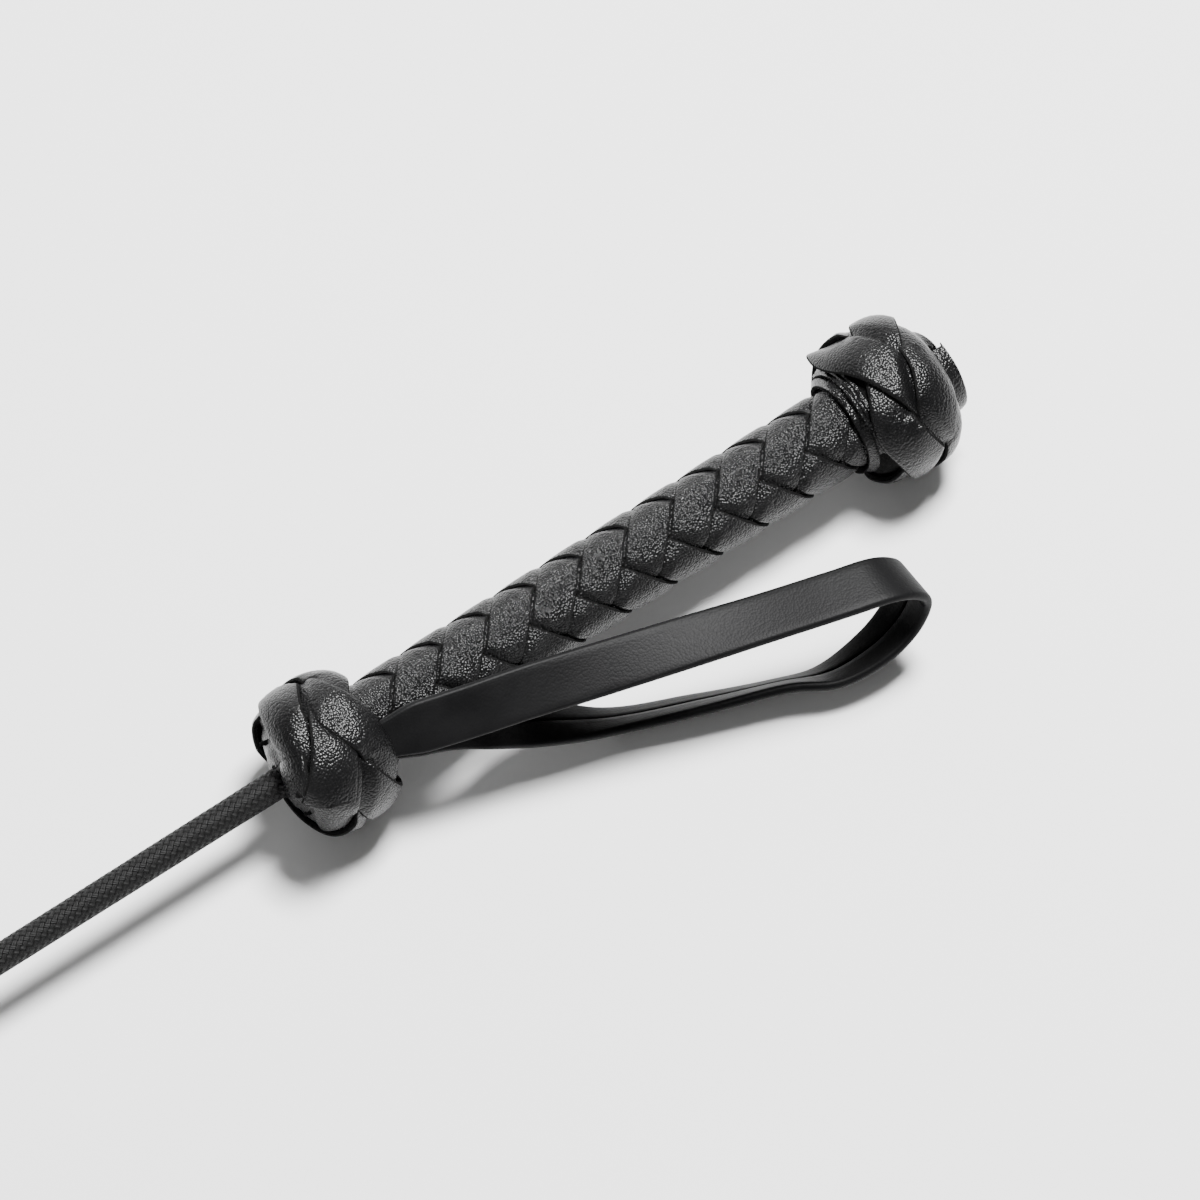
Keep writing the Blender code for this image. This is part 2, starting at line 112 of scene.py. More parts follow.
# wrist strap: one folded strip, both ends tied into the lower knot
STRAP_WIDTH = 11.6
STRAP_THICK = 2.2
STRAP_KNOT_SHARE = 0.72  # the gathered strap's width in the knot, as a share of its full width
STRAP_FOLD = 0.16  # the folded edges' rounding, as a share of the half width
STRAP_ROUTE = [  # (x, y, z, degrees by which the strip's width is tilted from the level)
    (6.0, -7.4, 8.6, -41),
    (11.0, -8.8, 9.4, -41),
    (16.8, -10.4, 9.8, -41),
    (22.0, -11.8, 9.6, -39),
    (30.0, -13.9, 9.35, -35),
    (40.0, -16.4, 9.15, -28),
    (57.0, -21.3, 9.05, -17),
    (89.0, -31.0, 9.95, 0),
    (106.0, -36.4, 11.25, 2),
    (116.0, -39.0, 10.85, 0),
    (122.0, -40.3, 6.65, 2),
    (123.5, -40.9, 0.75, 6),
    (119.5, -42.0, -5.95, 12),
    (112.0, -42.8, -9.95, 24),
    (101.5, -41.6, -13.15, 40),
    (91.0, -37.4, -13.15, 53),
    (75.0, -31.0, -13.45, 46),
    (57.0, -23.4, -13.15, 34),
    (40.0, -16.9, -4.25, -22),
    (30.0, -14.4, 3.2, -48),
    (22.0, -11.2, 5.9, -46),
    (16.8, -9.6, 7.0, -42),
    (11.0, -8.2, 7.2, -41),
    (6.0, -6.9, 6.8, -41),
]

# rod cover: a braided sleeve with as many strands each way as it has carriers
COVER_RADIUS = 3.3
COVER_TIP_RADIUS = 2.3
COVER_START_X = -9.5
COVER_END_X = -423.0
COVER_CARRIERS = 14
COVER_PITCH = 1.7
COVER_RELIEF = 0.13
COVER_SIDES = 56
COVER_STEP = 0.45

# thread bindings
WHIPPING_STEPS = 40  # points for each turn
WHIPPING_FILL = 0.52  # the thread's radius as a share of the turns' spacing, so they touch

# keeper: two leaves of one folded strip, stitched all round
HINGE_X = -430.0
KEEPER_ROOT_X = -417.0
KEEPER_END_X = -487.0
KEEPER_WIDTH = 27.0
KEEPER_NECK = 9.0
KEEPER_SHOULDER = 17.0  # length over which the neck widens to the full width
KEEPER_CORNER = 5.0
KEEPER_LEAF = 1.4
KEEPER_STEPS = 100
KEEPER_COLUMNS = (-1, -0.97, -0.85, -0.6, -0.3, 0, 0.3, 0.6, 0.85, 0.97, 1)
KEEPER_EDGE = 0.97  # share of the half width where a leaf's cut edge starts to roll
LEAF_CLEARANCE = 0.12  # each closed leaf's distance from the middle
LEAF_OPENING = 0.3  # how much further it stands off between the neck and the end
WRAP_START_X = -403.2
WRAP_LENGTH = 24.0
WRAP_RADIUS = 4.25
WRAP_STEPS = 60
WRAP_SIDES = 40
STITCH_INSET = 2.2
STITCH_PITCH = 3.2
STITCH_START_X = HINGE_X - 3.0
STITCH_POINTS = 6  # spans in the arc of one stitch
THREAD_RADIUS = 0.33
THREAD_SIDES = 6


def at(x, y, z):
    """A point of the crop frame, in millimetres, as a place in the row frame."""
    return KNOT + Vector((x, y, z)) * MM


def round_axis(x, radius, angle):
    """The place at a radius and an angle in radians about the rod's axis."""
    return at(x, radius * math.cos(angle), radius * math.sin(angle))


# ---------------------------------------------------------------- materials


class Nodes:
    """Short hand for building a material's node tree."""

    def __init__(self, name):
        self.material = bpy.data.materials.new(name)
        self.material.use_nodes = True
        self.tree = self.material.node_tree
        self.shader = self.tree.nodes["Principled BSDF"]

    def node(self, kind, **settings):
        made = self.tree.nodes.new(kind)
        for key, value in settings.items():
            setattr(made, key, value)
        return made

    def link(self, source, target):
        self.tree.links.new(source, target)

    def math(self, operation, a, b=None):
        made = self.node("ShaderNodeMath", operation=operation)
        for index, value in enumerate((a, b)):
            if value is None:
                continue
            if isinstance(value, (int, float)):
                made.inputs[index].default_value = value
            else:
                self.link(value, made.inputs[index])
        return made.outputs[0]

    def ramp(self, source, low, high, positions):
        made = self.node("ShaderNodeValToRGB")
        for element, colour, spot in zip(made.color_ramp.elements, (low, high), positions):
            element.color = (*colour, 1.0)
            element.position = spot
        self.link(source, made.inputs["Fac"])
        return made.outputs["Color"]

    def span(self, source, low, high):
        """A 0 to 1 value moved to the range low to high."""
        made = self.node("ShaderNodeMapRange")
        self.link(source, made.inputs["Value"])
        made.inputs["To Min"].default_value = low
        made.inputs["To Max"].default_value = high
        return made.outputs["Result"]

    def bump(self, height, depth_mm, after=None):
        made = self.node("ShaderNodeBump")
        made.inputs["Strength"].default_value = 1.0
        made.inputs["Distance"].default_value = depth_mm * MM
        self.link(height, made.inputs["Height"])
        if after is not None:
            self.link(after, made.inputs["Normal"])
        return made.outputs["Normal"]

    def noise(self, where, size_mm, detail):
        made = self.node("ShaderNodeTexNoise")
        made.inputs["Scale"].default_value = 1000.0 / size_mm
        made.inputs["Detail"].default_value = detail
        self.link(where, made.inputs["Vector"])
        return made.outputs["Fac"]

    def cells(self, where, size_mm):
        made = self.node("ShaderNodeTexVoronoi", feature="F1")
        made.inputs["Scale"].default_value = 1000.0 / size_mm
        self.link(where, made.inputs["Vector"])
        return made.outputs["Distance"]


def leather(name, tone, grain_mm, grain_depth, roughness, gloss):
    """Coated black leather: pebbled grain with fine creases and slightly uneven gloss."""
    n = Nodes(name)
    where = n.node("ShaderNodeTexCoord").outputs["Object"]
    pebbles = n.cells(where, grain_mm)
    creases = n.noise(where, grain_mm * 1.7, 2.0)
    waves = n.noise(where, 4.5, 2.0)
    patches = n.noise(where, 9.0, 3.0)
    dark = tuple(tone * share for share in (0.72, 0.72, 0.76))
    light = tuple(tone * share for share in (1.22, 1.22, 1.27))
    n.link(n.ramp(patches, dark, light, (0.3, 0.72)), n.shader.inputs["Base Color"])
    worn = n.math("ADD", n.math("MULTIPLY", patches, 0.5), n.math("MULTIPLY", creases, 0.5))
    shine = n.span(worn, roughness - 0.06, roughness + 0.08)
    n.link(shine, n.shader.inputs["Roughness"])
    first = n.bump(waves, grain_depth * 0.3)
    second = n.bump(creases, grain_depth * 0.1, first)
    domes = n.math("SUBTRACT", 1.0, n.math("POWER", pebbles, 1.6))
    n.link(n.bump(domes, grain_depth, second), n.shader.inputs["Normal"])
    n.shader.inputs["Specular IOR Level"].default_value = gloss
    return n.material


def backing(name, tone):
    """The rough knitted back and cut edges of coated leather."""
    n = Nodes(name)
    where = n.node("ShaderNodeTexCoord").outputs["Object"]
    fibres = n.noise(where, 0.35, 4.0)
    clumps = n.noise(where, 1.6, 3.0)
    colour = n.ramp(fibres, (tone * 0.45,) * 3, (tone * 2.4,) * 3, (0.35, 0.75))
    n.link(colour, n.shader.inputs["Base Color"])
    n.shader.inputs["Roughness"].default_value = 0.88
    n.shader.inputs["Specular IOR Level"].default_value = 0.05
    n.link(n.bump(fibres, 0.22, n.bump(clumps, 0.2)), n.shader.inputs["Normal"])
    return n.material


def rod_coordinates(n):
    """(place, its X, turns about the rod's axis) of a shading point, as node outputs."""
    where = n.node("ShaderNodeTexCoord").outputs["Object"]
    parts = n.node("ShaderNodeSeparateXYZ")
    n.link(where, parts.inputs[0])
    across = n.math("SUBTRACT", parts.outputs["Y"], AXIS.y)
    rise = n.math("SUBTRACT", parts.outputs["Z"], AXIS.z)
    turns = n.math("DIVIDE", n.math("ARCTAN2", rise, across), math.tau)
    return where, parts.outputs["X"], turns


def braided_textile(name, carriers, pitch_mm, tone):
    """A braided sleeve: strands run both ways about the rod, over one and under one."""
    n = Nodes(name)
    where, along, turns = rod_coordinates(n)
    rows = n.math("DIVIDE", along, pitch_mm * MM)
    wraps = n.math("MULTIPLY", turns, float(carriers))
    right = n.math("ADD", rows, wraps)
    left = n.math("SUBTRACT", rows, wraps)
    heights = []
    for strand in (right, left):
        share = n.math("SUBTRACT", n.math("FRACT", strand), 0.5)
        crown = n.math("COSINE", n.math("MULTIPLY", share, math.pi))
        yarns = n.math("COSINE", n.math("MULTIPLY", share, math.tau * 3))
        heights.append(n.math("ADD", crown, n.math("MULTIPLY", yarns, 0.16)))
    steps = n.math("ADD", n.math("FLOOR", right), n.math("FLOOR", left))
    over = n.math("PINGPONG", steps, 1.0)
    under = n.math("SUBTRACT", 1.0, over)
    cross = n.math(
        "ADD", n.math("MULTIPLY", heights[0], over), n.math("MULTIPLY", heights[1], under)
    )
    fuzz = n.noise(where, 0.3, 3.0)
    # The colour is painted shade: darker where a strand lies low in the weave and lighter on
    # its crown.
    colour = n.ramp(cross, (tone * 0.25,) * 3, (tone * 1.9,) * 3, (0.25, 1.0))
    n.link(colour, n.shader.inputs["Base Color"])
    n.shader.inputs["Roughness"].default_value = 0.5
    n.shader.inputs["Specular IOR Level"].default_value = 0.14
    n.link(n.bump(fuzz, 0.05, n.bump(cross, 0.3)), n.shader.inputs["Normal"])
    return n.material


def twisted_thread(name, tone):
    """Waxed thread: short slanting plies with a soft shine."""
    n = Nodes(name)
    where, along, turns = rod_coordinates(n)
    slant = n.math("ADD", n.math("MULTIPLY", turns, 60.0), n.math("DIVIDE", along, 1.1 * MM))
    plies = n.math("SINE", n.math("MULTIPLY", slant, math.tau))
    fuzz = n.noise(where, 0.25, 3.0)
    # The colour is painted shade: darker in the grooves between the plies and lighter on their
    # crests.
    colour = n.ramp(n.span(plies, 0.5, 1.0), (tone * 0.4,) * 3, (tone * 1.8,) * 3, (0.0, 1.0))
    n.link(colour, n.shader.inputs["Base Color"])
    n.shader.inputs["Roughness"].default_value = 0.5
    n.link(n.bump(fuzz, 0.05, n.bump(plies, 0.06)), n.shader.inputs["Normal"])
    return n.material


def streaked(name, low, high, stretch, size_mm, roughness, depth_mm):
    """A streaked solid such as wood grain, drawn glass fibre or moulded plastic."""
    n = Nodes(name)
    where = n.node("ShaderNodeTexCoord").outputs["Object"]
    mapping = n.node("ShaderNodeMapping")
    mapping.inputs["Scale"].default_value = (1.0 / stretch, 1.0, 1.0)
    n.link(where, mapping.inputs["Vector"])
    streaks = n.noise(mapping.outputs[0], size_mm, 4.0)
    n.link(n.ramp(streaks, low, high, (0.3, 0.7)), n.shader.inputs["Base Color"])
    n.shader.inputs["Roughness"].default_value = roughness
    n.link(n.bump(streaks, depth_mm), n.shader.inputs["Normal"])
    return n.material


LACE_LEATHER = leather(
    "lace_leather", tone=0.003, grain_mm=0.52, grain_depth=0.24, roughness=0.27, gloss=0.19
)
KNOT_LEATHER = leather(
    "knot_leather", tone=0.003, grain_mm=0.52, grain_depth=0.15, roughness=0.27, gloss=0.18
)
STRAP_LEATHER = leather(
    "strap_leather", tone=0.004, grain_mm=0.5, grain_depth=0.03, roughness=0.46, gloss=0.055
)
KEEPER_LEATHER = leather(
    "keeper_leather", tone=0.009, grain_mm=0.6, grain_depth=0.05, roughness=0.42, gloss=0.25
)
LACE_BACK = backing("lace_back", 0.003)
SEAM_DARK = backing("seam_shadow", 0.0025)
SLEEVE_TEXTILE = braided_textile("sleeve_textile", COVER_CARRIERS, COVER_PITCH, 0.0035)
THREAD = twisted_thread("waxed_thread", 0.02)
FIBREGLASS = streaked(
    "drawn_fibreglass",
    low=(0.62, 0.6, 0.5),
    high=(0.8, 0.79, 0.72),
    stretch=40.0,
    size_mm=0.6,
    roughness=0.4,
    depth_mm=0.02,
)
WOOD = streaked(
    "turned_wood",
    low=(0.36, 0.22, 0.11),
    high=(0.6, 0.43, 0.26),
    stretch=14.0,
    size_mm=1.4,
    roughness=0.6,
    depth_mm=0.05,
)
PLASTIC = streaked(
    "moulded_plastic",
    low=(0.02, 0.02, 0.02),
    high=(0.04, 0.04, 0.04),
    stretch=1.0,
    size_mm=0.8,
    roughness=0.5,
    depth_mm=0.02,
)


# ---------------------------------------------------------------- mesh tools


def skin(name, rings, face_kinds, materials, closed=False):
    """Skin a row of sections. face_kinds gives each side of a section its material. An open
    row is capped at both ends; a closed one runs back into its start."""
    bm = bmesh.new()
    made = [[bm.verts.new(spot) for spot in ring] for ring in rings]
    pairs = list(zip(made, made[1:]))
    if closed:
        pairs.append((made[-1], made[0]))
    count = len(made[0])
    for low, high in pairs:
        for k in range(count):
            m = (k + 1) % count
            face = bm.faces.new((low[k], low[m], high[m], high[k]))
            face.material_index = face_kinds[k]
            face.smooth = True
    if not closed:
        for ring in (made[0], made[-1]):
            cap = bm.faces.new(ring)
            cap.material_index = max(face_kinds)
    bmesh.ops.recalc_face_normals(bm, faces=bm.faces)
    return publish(name, bm, materials)


def publish(name, bm, materials):
    """Turn a bmesh into an object of the scene."""
    mesh = bpy.data.meshes.new(name)
    bm.to_mesh(mesh)
    bm.free()
    for material in materials:
        mesh.materials.append(material)
    mesh.set_sharp_from_angle(angle=math.radians(52))
    made = bpy.data.objects.new(name, mesh)
    bpy.context.collection.objects.link(made)
    return made


def wander(x, y, z, size_mm, depth):
    """Smooth pseudo-random offset that depends only on the place."""
    return depth * noise.noise(Vector((x, y, z)) / size_mm)


def smooth_step(share):
    share = min(max(share, 0.0), 1.0)
    return share * share * (3 - 2 * share)


LACE_COLUMNS = (-1.0, -0.92, -0.8, -0.55, -0.28, 0.0, 0.28, 0.55, 0.8, 0.92, 1.0)
LACE_EDGE = 0.92  # share of the half width where the face starts to roll
# material of each side of a lace's section: 0 for its face, 1 for its cut edges and back
LACE_FACES = [1] + [0] * (len(LACE_COLUMNS) - 3) + [1] * (len(LACE_COLUMNS) + 2)


def lace_section(place, width_share, crown, thick=LACE_THICK):
    """One section of a lace. place(share, height) gives the point for a share of the half
    width from -1 to 1 and a height from the middle layer. The outermost strips of the face
    roll down to the cut edges."""
    ring = []
    for share in LACE_COLUMNS:
        drop = crown * abs(share) ** 2.4
        roll = 0.3 * thick * max(abs(share) - LACE_EDGE, 0) / (1 - LACE_EDGE)
        ring.append(place(share * width_share, thick / 2 - drop - roll))
    for share in reversed(LACE_COLUMNS):
        drop = crown * abs(share) ** 2.4
        ring.append(place(share * width_share * 0.985, -thick / 2 - drop * 0.8))
    return ring


# ---------------------------------------------------------------- braided grip


def sink(crossing, hand):
    """How far a strand has sunk at a crossing count, 0 over and 1 under."""
    phase = (crossing - 0.5 + (0 if hand > 0 else 2)) % 4
    away = min(phase, 4 - phase)  # distance from the middle of the outer stretch
    return smooth_step((away - OUTER_REACH) / SINK_RUN)


def strand_place(own, hand, other, offset, height):
    """A point of a strand. own is the strand's number and hand the way it winds, +1 or -1;
    other counts the strands it has crossed, and offset is the share of its half width."""
    column = own + offset * STRAND_HALF
    p, q = (column, other) if hand > 0 else (other, column)
    depth = WEAVE_DEPTH * sink(own + other, hand)
    angle = math.radians(WEAVE_TURN + 45 * (p + q))
    x = WEAVE_SHIFT + STRAND_PITCH / 2 * (q - p)
    radius = STRAND_TOP - STRAND_THICK / 2 - depth + height
    return round_axis(x, radius, angle)


def build_strand(index, own, hand):
    per_count = STRAND_PITCH / 2
    ends = sorted(
        own + hand * (x - WEAVE_SHIFT) / per_count for x in (BRAID_START_X, BRAID_END_X)
    )
    steps = int((ends[1] - ends[0]) * STRAND_STEPS)
    rings = []
    for k in range(steps + 1):
        other = ends[0] + (ends[1] - ends[0]) * k / steps
        ragged = 1 + wander(other, own, hand, 0.16, 0.018)

        def place(share, height, other=other):
            return strand_place(own, hand, other, share, height)

        rings.append(lace_section(place, ragged, STRAND_CROWN, STRAND_THICK))
    strand = skin(f"plait_strand_{index}", rings, LACE_FACES, [LACE_LEATHER, LACE_BACK])
    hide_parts(f"grip_strand_{index}")
    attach(strand, "handle")


def build_braid():
    for index in range(4):
        build_strand(2 * index + 1, index, 1)
        build_strand(2 * index + 2, index, -1)


# ---------------------------------------------------------------- Turk's-head knots


def profile_table(radius, reach, power):
    """Half of a knot's rounded outline, as rows of (distance along it, x, radius)."""
    rows = [(0.0, 0.0, radius)]
    for k in range(1, PROFILE_STEPS + 1):
        turn_angle = math.pi / 2 * k / PROFILE_STEPS
        x = reach * math.sin(turn_angle) ** (2 / power)
        rise = (radius - PROFILE_ROOT) * math.cos(turn_angle) ** (2 / power)
        length = rows[-1][0] + math.hypot(x - rows[-1][1], PROFILE_ROOT + rise - rows[-1][2])
        rows.append((length, x, PROFILE_ROOT + rise))
    return rows


def on_profile(table, distance, height):
    """(x, radius) at a distance along the outline and a height over it."""
    distance = min(distance, table[-1][0] - 1e-6)
    index = bisect.bisect_right([row[0] for row in table], distance)
    low, high = table[index - 1], table[index]
    share = (distance - low[0]) / (high[0] - low[0])
    x = low[1] + (high[1] - low[1]) * share
    radius = low[2] + (high[2] - low[2]) * share
    along = Vector((high[1] - low[1], high[2] - low[2])).normalized()
    return x - along.y * height, radius + along.x * height


def periodic(nodes, where, smooth):
    """A periodic curve through (position, value) nodes, straight or eased in between."""
    where = nodes[0][0] + (where - nodes[0][0]) % PERIOD
    looped = [*nodes, (nodes[0][0] + PERIOD, nodes[0][1])]
    for (a, low), (b, high) in zip(looped, looped[1:]):
        if where <= b:
            share = (where - a) / (b - a)
            return low + (high - low) * (smooth_step(share) if smooth else share)
    return nodes[0][1]


class Knot:
    """One Turk's head: where its lace runs over the rounded outline and what it crosses.

    reaches are the outline's lengths along X on the rod's side and on the far side. route
    holds (degrees, distance from the knot's middle) nodes and levels holds (degrees, level)
    nodes, where 1 is over and -1 is under. flare is (start, peak, end, lift): the stretch in
    degrees where the near edge stands off, and by how much."""

    def __init__(self, x, radius, reaches, power, route, levels, flare=None):
        self.x = x
        self.tables = [profile_table(radius, reach, power) for reach in reaches]
        self.route = route
        self.levels = levels
        self.flare = flare

    def outline(self, distance, height):
        """(x, radius) at a signed distance from the knot's middle and a height over it."""
        x, radius = on_profile(self.tables[distance > 0], abs(distance), height)
        return math.copysign(x, distance) if abs(distance) > 1e-9 else 0.0, radius

    def middle(self, position):
        """The lace's distance from the knot's middle at a position in degrees along it."""
        total = 0.0
        for k in range(-BEND_SAMPLES, BEND_SAMPLES + 1):
            total += periodic(self.route, position + k * BEND_SPREAD / BEND_SAMPLES, False)
        return total / (2 * BEND_SAMPLES + 1)

    def stand_off(self, position):
        """How far the lace's near edge stands off, in millimetres."""
        if self.flare is None:
            return 0.0
        start, peak, end, lift = self.flare
        where = (position + LACE_RUN / 2) % LACE_RUN - LACE_RUN / 2
        if where < peak:
            return lift * smooth_step((where - start) / (peak - start))
        return lift * smooth_step((end - where) / (end - peak))

    def place(self, distance, angle, height):
        x, radius = self.outline(distance, height)
        return round_axis(self.x + x, radius, angle)


def lace_ring(knot, position, ragged):
    """The lace's section at a position in degrees along it."""
    step = 0.6  # degrees
    before, here = knot.middle(position - step), knot.middle(position)
    after = knot.middle(position + step)
    radius = knot.outline(here, 0)[1]
    run = Vector((after - before, radius * math.radians(2 * step))).normalized()
    slant = min(max(run.x / STEEPEST_RUN, -1.0), 1.0)
    lifted = knot.stand_off(position)

    def place(share, height):
        side = share * LACE_WIDTH / 2
        angle = math.radians(position) + side * run.x / radius
        level = periodic(knot.levels, position - LACE_SHEAR * share * slant, True)
        lift = LACE_LIFT * level + lifted * max(share, 0) ** 1.5
        return knot.place(here - side * run.y, angle, lift + height)

    return lace_section(place, ragged, LACE_CROWN)


def build_lace(name, node, knot):
    rings = []
    for k in range(LACE_STEPS):
        position = LACE_RUN * k / LACE_STEPS
        rings.append(lace_ring(knot, position, 1 + wander(k * 0.7, 0, knot.x, 9.0, 0.02)))
    lace = skin(name, rings, LACE_FACES, [KNOT_LEATHER, LACE_BACK], closed=True)
    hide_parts(node)
    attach(lace, "handle")


KNOB = Knot(
    x=KNOB_X,
    radius=16.8,
    reaches=(12.9, 10.0),
    power=3.0,
    route=[(47.8, -8.0), (166.6, 7.8), (191.0, 7.8)],
    levels=[
        (23.1, -1.0),
        (47.8, 0.0),
        (81.0, 1.0),
        (100.0, 1.0),
        (113.1, -1.0),
        (156.7, -1.0),
        (178.8, 0.0),
        (215.0, 1.0),
        (234.0, 1.0),
        (248.1, -1.0),
    ],
    flare=(-46.0, 12.0, 62.0, 2.6),
)
LOWER_KNOT = Knot(
    x=0.0,
    radius=16.0,
    reaches=(10.8, 11.6),
    power=3.0,
    route=[(-10.0, -8.5), (131.0, 8.3)],
    levels=[
        (-10.0, 0.0),
        (14.9, -1.0),
        (60.1, -1.0),
        (73.5, 1.0),
        (93.0, 1.0),
        (131.0, 0.0),
        (151.8, -1.0),
        (195.2, -1.0),
        (207.0, 1.0),
        (227.0, 1.0),
    ],
)


def sample(curve, share):
    """A point of a row of points, at a share of its length."""
    spot = min(max(share, 0.0), 1.0) * (len(curve) - 1)
    index = min(int(spot), len(curve) - 2)
    return curve[index].lerp(curve[index + 1], spot - index)


def torn_offsets(seed, depth):
    """How far each column of a lace's end is torn, in millimetres."""
    dice = random.Random(seed)
    return {share: depth * dice.uniform(-1, 1) for share in LACE_COLUMNS}


def build_band(name, knot, stations, width, torn, slant, seed):
    """A short length of lace laid on a knot, ending in a torn edge. Each station is (degrees
    about the rod, distance from the knot's middle, lift); slant is how far the lift leads at
    the near edge, as a share of the length."""
    curve = smooth_route(stations, 14)
    offsets = torn_offsets(seed, torn)
    length = 0.0
    for a, b in zip(curve, curve[1:]):
        length += math.hypot(b.y - a.y, math.radians(b.x - a.x) * knot.outline(a.y, 0)[1])
    steps = int(length / BAND_STEP)
    rings = []
    for k in range(steps + 1):
        share_along = k / steps
        frayed = smooth_step(1 - (1 - share_along) * length / FRAY_REACH) / length

        def place(share, height, share_along=share_along, frayed=frayed):
            column = min(LACE_COLUMNS, key=lambda known: abs(known - share))
            spot = min(share_along + frayed * offsets[column], 1.0)
            here, ahead = sample(curve, spot), sample(curve, spot + 0.02)
            behind = sample(curve, spot - 0.02)
            radius = knot.outline(here.y, 0)[1]
            run = Vector((ahead.y - behind.y, math.radians(ahead.x - behind.x) * radius))
            run.normalize()
            side = share * width / 2
            angle = math.radians(here.x) + side * run.x / radius
            lift = sample(curve, spot + slant * share).z
            return knot.place(here.y - side * run.y, angle, lift + height)

        rings.append(lace_section(place, 1.0, LACE_CROWN))
    band = skin(name, rings, LACE_FACES, [KNOT_LEATHER, LACE_BACK])
    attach(band, "handle")


def build_rim(name, x, line, degrees, seed, folds, torn=0.8, replaces=None):
    """A lace lying round the rod as a cone. line is ((x, radius) of the hidden edge, (x,
    radius) of the free edge); folds is the depth of the wrinkles along it, and torn how far
    its two ends are torn."""
    (x0, r0), (x1, r1) = line
    start, end = degrees
    closed = end - start >= 360
    offsets = torn_offsets(seed, torn)
    steps = int((end - start) / RIM_STEP)
    normal = Vector((r0 - r1, x1 - x0)).normalized()
    if normal.y < 0:
        normal = -normal
    rings = []
    for k in range(steps + (0 if closed else 1)):
        degree = start + (end - start) * k / steps

        def place(share, height, degree=degree, k=k):
            column = min(LACE_COLUMNS, key=lambda known: abs(known - share))
            if not closed and k in (0, steps):
                degree += offsets[column] * 180 / (math.pi * r1)
            spot = (share + 1) / 2
            turned = Vector((math.cos(math.radians(degree)), math.sin(math.radians(degree))))
            drift = Vector((turned.x * 1.3, turned.y * 1.3, share * 2.6 + seed))
            fold = folds * (math.sin(9 * share + 3 * turned.x) + 1.8 * noise.noise(drift))
            lift = height + fold + wander(turned.x * 9, turned.y * 9, seed, 6.0, 0.35)
            radius = r0 + (r1 - r0) * spot + normal.y * lift
            place_x = x + x0 + (x1 - x0) * spot + normal.x * lift
            return round_axis(place_x, radius, math.radians(degree))

        rings.append(lace_section(place, 1.0, RIM_CROWN, RIM_THICK))
    rim = skin(name, rings, LACE_FACES, [KNOT_LEATHER, LACE_BACK], closed=closed)
    if replaces:
        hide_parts(replaces)
    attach(rim, "handle")


def build_knot_ends():
    """The lace's cut ends and the gathers round the rod at the two knots."""
    upper = [
        (86, 2.7, -0.5),
        (100, 0.6, -0.4),
        (108, -0.6, 0.9),
        (118, -2.2, 1.5),
        (130, -4.3, 1.7),
        (140, -6.0, 2.1),
        (149, -7.4, 2.8),
    ]
    lower = [(98, -11.2, 0.2), (110, -12.2, 1.2), (124, -12.6, 1.9), (137, -12.4, 2.9)]
    build_band("knot_lace_end_upper", LOWER_KNOT, upper, 9.6, torn=1.6, slant=0.25, seed=4)
    build_band("knot_lace_end_lower", LOWER_KNOT, lower, 8.0, torn=1.7, slant=0.0, seed=9)
    near_line = ((-7.6, 13.8), (-11.2, 3.3))
    build_rim("knot_near_gather", 0.0, near_line, (0, 360), 15, 0.3, 0.0, "knot_collar")
    build_rim("knob_neck_gather", KNOB_X, ((-6.5, 13.4), (-13.2, 10.5)), (0, 360), 21, 0.45)
    fold_line = ((-8.6, 13.8), (-11.4, 12.3))
    build_rim("knob_neck_fold", KNOB_X, fold_line, (10, 158), 27, 0.22, 0.5)
    tabs = [
        (((8.0, 11.6), (12.3, 9.0)), (10, 86), 31, 0.1, 0.8),
        (((8.0, 10.6), (13.6, 9.9)), (90, 203), 35, 0.06, 1.1),
        (((8.0, 11.4), (12.6, 9.2)), (222, 330), 38, 0.1, 0.8),
    ]
    for index, (line, degrees, seed, folds, torn) in enumerate(tabs, 1):
        node = f"knob_lace_end_{index}"
        build_rim(f"knob_tab_{index}", KNOB_X, line, degrees, seed, folds, torn, node)


# ---------------------------------------------------------------- wrist strap


def smooth_route(points, steps):
    """A Catmull-Rom curve through the points, with the same number of steps in each span."""
    rows = [Vector(point) for point in points]
    rows = [2 * rows[0] - rows[1], *rows, 2 * rows[-1] - rows[-2]]
    curve = []
    for a, b, c, d in zip(rows, rows[1:], rows[2:], rows[3:]):
        for k in range(steps):
            s = k / steps
            spot = 2 * b + (c - a) * s + (2 * a - 5 * b + 4 * c - d) * s**2
            curve.append((spot + (3 * b - a - 3 * c + d) * s**3) / 2)
    curve.append(rows[-2])
    return curve


def strap_outline():
    """The folded strip's section as rows of (share across, share of the height, material),
    with its centre seam below."""
    rows = []
    flat = 1 - STRAP_FOLD
    for k in range(9):
        share = -flat + 2 * flat * k / 8
        rows.append((share, 1.0, 0))
    for k in range(1, 8):
        turn_angle = math.pi * k / 8
        rows.append((flat + STRAP_FOLD * math.sin(turn_angle), math.cos(turn_angle), 0))
    for share in (0.84, 0.55, 0.28, 0.085):
        rows.append((share, -1.0, 0))
    rows += [(0.03, -0.82, 1), (0.0, -0.35, 1), (-0.03, -0.82, 1)]
    for share in (-0.085, -0.28, -0.55, -0.84):
        rows.append((share, -1.0, 0))
    for k in range(1, 8):
        turn_angle = math.pi * k / 8
        rows.append((-flat - STRAP_FOLD * math.sin(turn_angle), -math.cos(turn_angle), 0))
    return rows


def strap_width(x):
    """The strap is gathered where it enters the knot."""
    spread = smooth_step((x - 8.0) / 10.0)
    return STRAP_WIDTH * (STRAP_KNOT_SHARE + (1 - STRAP_KNOT_SHARE) * spread)


